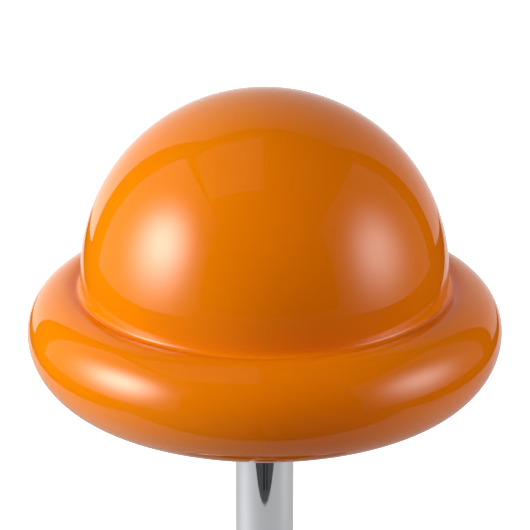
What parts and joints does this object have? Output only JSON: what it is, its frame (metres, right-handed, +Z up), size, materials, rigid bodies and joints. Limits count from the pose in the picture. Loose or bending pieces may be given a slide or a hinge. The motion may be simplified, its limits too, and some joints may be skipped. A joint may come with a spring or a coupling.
{
  "type": "table lamp",
  "caption": "Table lamp with a bowler-hat glass shade that lifts off a spider ring, a chromed tube stem, a screw-in bulb and a weighted round base with a push switch.",
  "frame": {"origin": "on the table under the middle of the lamp, at the bottom of its rubber feet", "axes": "+Z up along the stem, -Y the front where the push switch is, +X to the right seen from the front"},
  "size_m": [0.32, 0.32, 0.44],
  "materials": {
    "orange_cased_glass": "opaque orange cased glass, fire polished",
    "chrome": "polished chrome plate",
    "zinc_steel": "zinc plated",
    "cast_iron": "as cast, dark",
    "black_steel": "black enamel on sheet steel",
    "black_rubber": "matt moulded rubber",
    "clear_silicone": "clear silicone",
    "black_bakelite": "moulded black bakelite",
    "white_ceramic": null,
    "brass": "bright brass",
    "nickel": "nickel plated",
    "opal_glass": "opal white glass",
    "white_cable": "white cable sheath",
    "white_plastic": "moulded white plastic"
  },
  "bodies": {
    "lamp": {"shade_ring": "chrome", "spider": "chrome", "ring_rivet_1": "nickel", "ring_rivet_2": "nickel", "ring_rivet_3": "nickel", "stem_tube": "chrome", "upper_plug": "chrome", "lower_plug": "zinc_steel", "nipple": "zinc_steel", "nipple_nut": "zinc_steel", "base_cover": "chrome", "base_weight": "cast_iron", "bottom_plate": "black_steel", "plate_screw_1": "zinc_steel", "plate_screw_2": "zinc_steel", "plate_screw_3": "zinc_steel", "rubber_foot_1": "black_rubber", "rubber_foot_2": "black_rubber", "rubber_foot_3": "black_rubber", "rubber_foot_4": "black_rubber", "base_bolt": "zinc_steel", "bolt_washer": "zinc_steel", "cord_bush": "black_rubber", "terminal_block": "white_plastic", "terminal_insert_1": "brass", "terminal_insert_2": "brass", "stem_lead": "white_cable", "switch_lead": "white_cable", "switch_body": "black_bakelite", "switch_bezel": "chrome", "switch_spring": "zinc_steel", "lampholder_cap": "black_bakelite", "lampholder_sleeve": "black_bakelite", "lampholder_insert": "white_ceramic", "lampholder_shell": "brass", "lampholder_contact": "brass"},
    "shade": {"glass_shade": "orange_cased_glass", "shade_gasket": "clear_silicone"},
    "bulb": {"bulb_globe": "opal_glass", "bulb_cap": "nickel", "bulb_insulator": "black_bakelite", "bulb_contact": "nickel"},
    "button": {"switch_button": "chrome"}
  },
  "joints": [
    {"name": "shade_lift", "type": "slide", "parent": "lamp", "child": "shade", "axis": [0, 0, 1], "range_m": [0, 0.18]},
    {"name": "bulb_withdraw", "type": "slide", "parent": "lamp", "child": "bulb", "axis": [0, 0, 1], "range_m": [0, 0.025]},
    {"name": "switch_press", "type": "slide", "parent": "lamp", "child": "button", "axis": [0, 0, -1], "range_m": [0, 0.003], "stiffness_N_per_m": 500, "springref_m": -0.002, "deforming": ["switch_spring"]}
  ]
}
